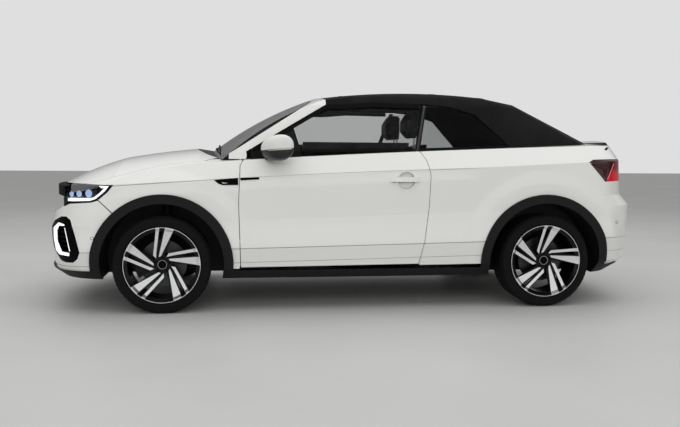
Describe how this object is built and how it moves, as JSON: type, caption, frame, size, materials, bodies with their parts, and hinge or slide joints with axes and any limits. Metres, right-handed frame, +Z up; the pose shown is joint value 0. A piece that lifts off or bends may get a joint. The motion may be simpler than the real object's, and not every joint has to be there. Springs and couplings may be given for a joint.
{
  "type": "soft-top crossover convertible",
  "caption": "Compact raised convertible car with a closed fabric top, hollow cabin, opening doors, hood and boot lid, and steerable rolling wheels.",
  "frame": {"origin": "on the ground under the middle of the body's length and width", "axes": "+X towards the tail (nose towards -X), -Y towards the car's left side, +Z up"},
  "size_m": [4.2652, 1.998, 1.5228],
  "materials": {
    "black_plastic": "grained",
    "body_paint": "pearl white gloss",
    "brake_iron": "ground",
    "cabin_plastic": "grained",
    "chassis_iron": "cast",
    "chassis_steel": "semi gloss black",
    "floor_steel": "satin",
    "gloss_black": "gloss",
    "headlamp_lens": "clear",
    "tail_lamp_lens": "clear red",
    "tinted_glass": "clear",
    "top_fabric": "woven canvas",
    "trim_fabric": "woven",
    "tyre_rubber": "matt",
    "wheel_alloy": "machined"
  },
  "bodies": {
    "body": {"floor_and_firewall": "floor_steel", "undertrays": "black_plastic", "fenders": "body_paint", "quarter_panels": "body_paint", "rear_deck": "body_paint", "cowl": "black_plastic", "windscreen_frame": "body_paint", "windscreen": "tinted_glass", "soft_top": "top_fabric", "rear_window": "tinted_glass", "quarter_windows": "tinted_glass", "front_bumper": "body_paint", "front_grilles": "gloss_black", "headlamps": "headlamp_lens", "tail_lamps": "tail_lamp_lens", "rear_bumper": "body_paint", "arch_and_sill_trim": "black_plastic", "wheel_liners": "black_plastic", "engine_block": "chassis_steel", "front_subframe": "chassis_steel", "rear_axle": "chassis_steel", "dashboard": "cabin_plastic", "centre_console": "cabin_plastic", "front_seats": "trim_fabric", "rear_bench": "trim_fabric", "steering_column": "chassis_steel", "corner_intakes": "gloss_black", "divider_strips": "headlamp_lens", "headlamp_lenses": "headlamp_lens", "rear_dampers": "black_plastic", "running_lights": "headlamp_lens", "tail_lamp_lenses": "tail_lamp_lens", "wipers": "black_plastic"},
    "door_left": {"door_left": "body_paint", "door_window_left": "tinted_glass", "mirror_left": "body_paint", "door_handle_left": "body_paint"},
    "knuckle_left": {"knuckle_left": "chassis_iron"},
    "wheel_front_left": {"rim_front_left": "wheel_alloy", "tyre_front_left": "tyre_rubber", "brake_disc_front_left": "brake_iron"},
    "wheel_rear_left": {"rim_rear_left": "wheel_alloy", "tyre_rear_left": "tyre_rubber", "brake_disc_rear_left": "brake_iron"},
    "door_right": {"door_right": "body_paint", "door_window_right": "tinted_glass", "mirror_right": "body_paint", "door_handle_right": "body_paint"},
    "knuckle_right": {"knuckle_right": "chassis_iron"},
    "wheel_front_right": {"rim_front_right": "wheel_alloy", "tyre_front_right": "tyre_rubber", "brake_disc_front_right": "brake_iron"},
    "wheel_rear_right": {"rim_rear_right": "wheel_alloy", "tyre_rear_right": "tyre_rubber", "brake_disc_rear_right": "brake_iron"},
    "hood": {"hood": "body_paint"},
    "boot_lid": {"boot_lid": "body_paint"},
    "steering_wheel": {"steering_wheel": "cabin_plastic"}
  },
  "joints": [
    {"name": "steer_left", "type": "hinge", "parent": "body", "child": "knuckle_left", "pos_m": [-1.296, -0.7065, 0.192], "axis": [0.0298, 0.2445, 0.9692], "range_deg": [-35, 35]},
    {"name": "steer_right", "type": "hinge", "parent": "body", "child": "knuckle_right", "pos_m": [-1.296, 0.7065, 0.192], "axis": [0.0298, -0.2445, 0.9692], "range_deg": [-35, 35]},
    {"name": "wheel_front_left_spin", "type": "hinge", "parent": "knuckle_left", "child": "wheel_front_left", "pos_m": [-1.296, -0.7725, 0.322], "axis": [0, 1, 0], "continuous": true},
    {"name": "wheel_rear_left_spin", "type": "hinge", "parent": "body", "child": "wheel_rear_left", "pos_m": [1.334, -0.7725, 0.322], "axis": [0, 1, 0], "continuous": true},
    {"name": "wheel_front_right_spin", "type": "hinge", "parent": "knuckle_right", "child": "wheel_front_right", "pos_m": [-1.296, 0.7725, 0.322], "axis": [0, 1, 0], "continuous": true},
    {"name": "wheel_rear_right_spin", "type": "hinge", "parent": "body", "child": "wheel_rear_right", "pos_m": [1.334, 0.7725, 0.322], "axis": [0, 1, 0], "continuous": true},
    {"name": "steering_wheel_turn", "type": "hinge", "parent": "body", "child": "steering_wheel", "pos_m": [-0.395, -0.37, 0.905], "axis": [0.9135, 0, 0.4067], "range_deg": [-500, 500]},
    {"name": "door_left_swing", "type": "hinge", "parent": "body", "child": "door_left", "pos_m": [-0.745, -0.87, 0.65], "axis": [0, 0, -1], "range_deg": [0, 67]},
    {"name": "door_right_swing", "type": "hinge", "parent": "body", "child": "door_right", "pos_m": [-0.745, 0.87, 0.65], "axis": [0, 0, 1], "range_deg": [0, 67]},
    {"name": "hood_lift", "type": "hinge", "parent": "body", "child": "hood", "pos_m": [-0.9, 0, 1.09], "axis": [0, 1, 0], "range_deg": [0, 52]},
    {"name": "boot_lid_lift", "type": "hinge", "parent": "body", "child": "boot_lid", "pos_m": [1.91, 0, 1.17], "axis": [0, -1, 0], "range_deg": [0, 80]}
  ],
  "couplings": [
    {"joint": "steer_right", "follows": "steer_left", "ratio": 1},
    {"joint": "steering_wheel_turn", "follows": "steer_left", "ratio": 14}
  ]
}
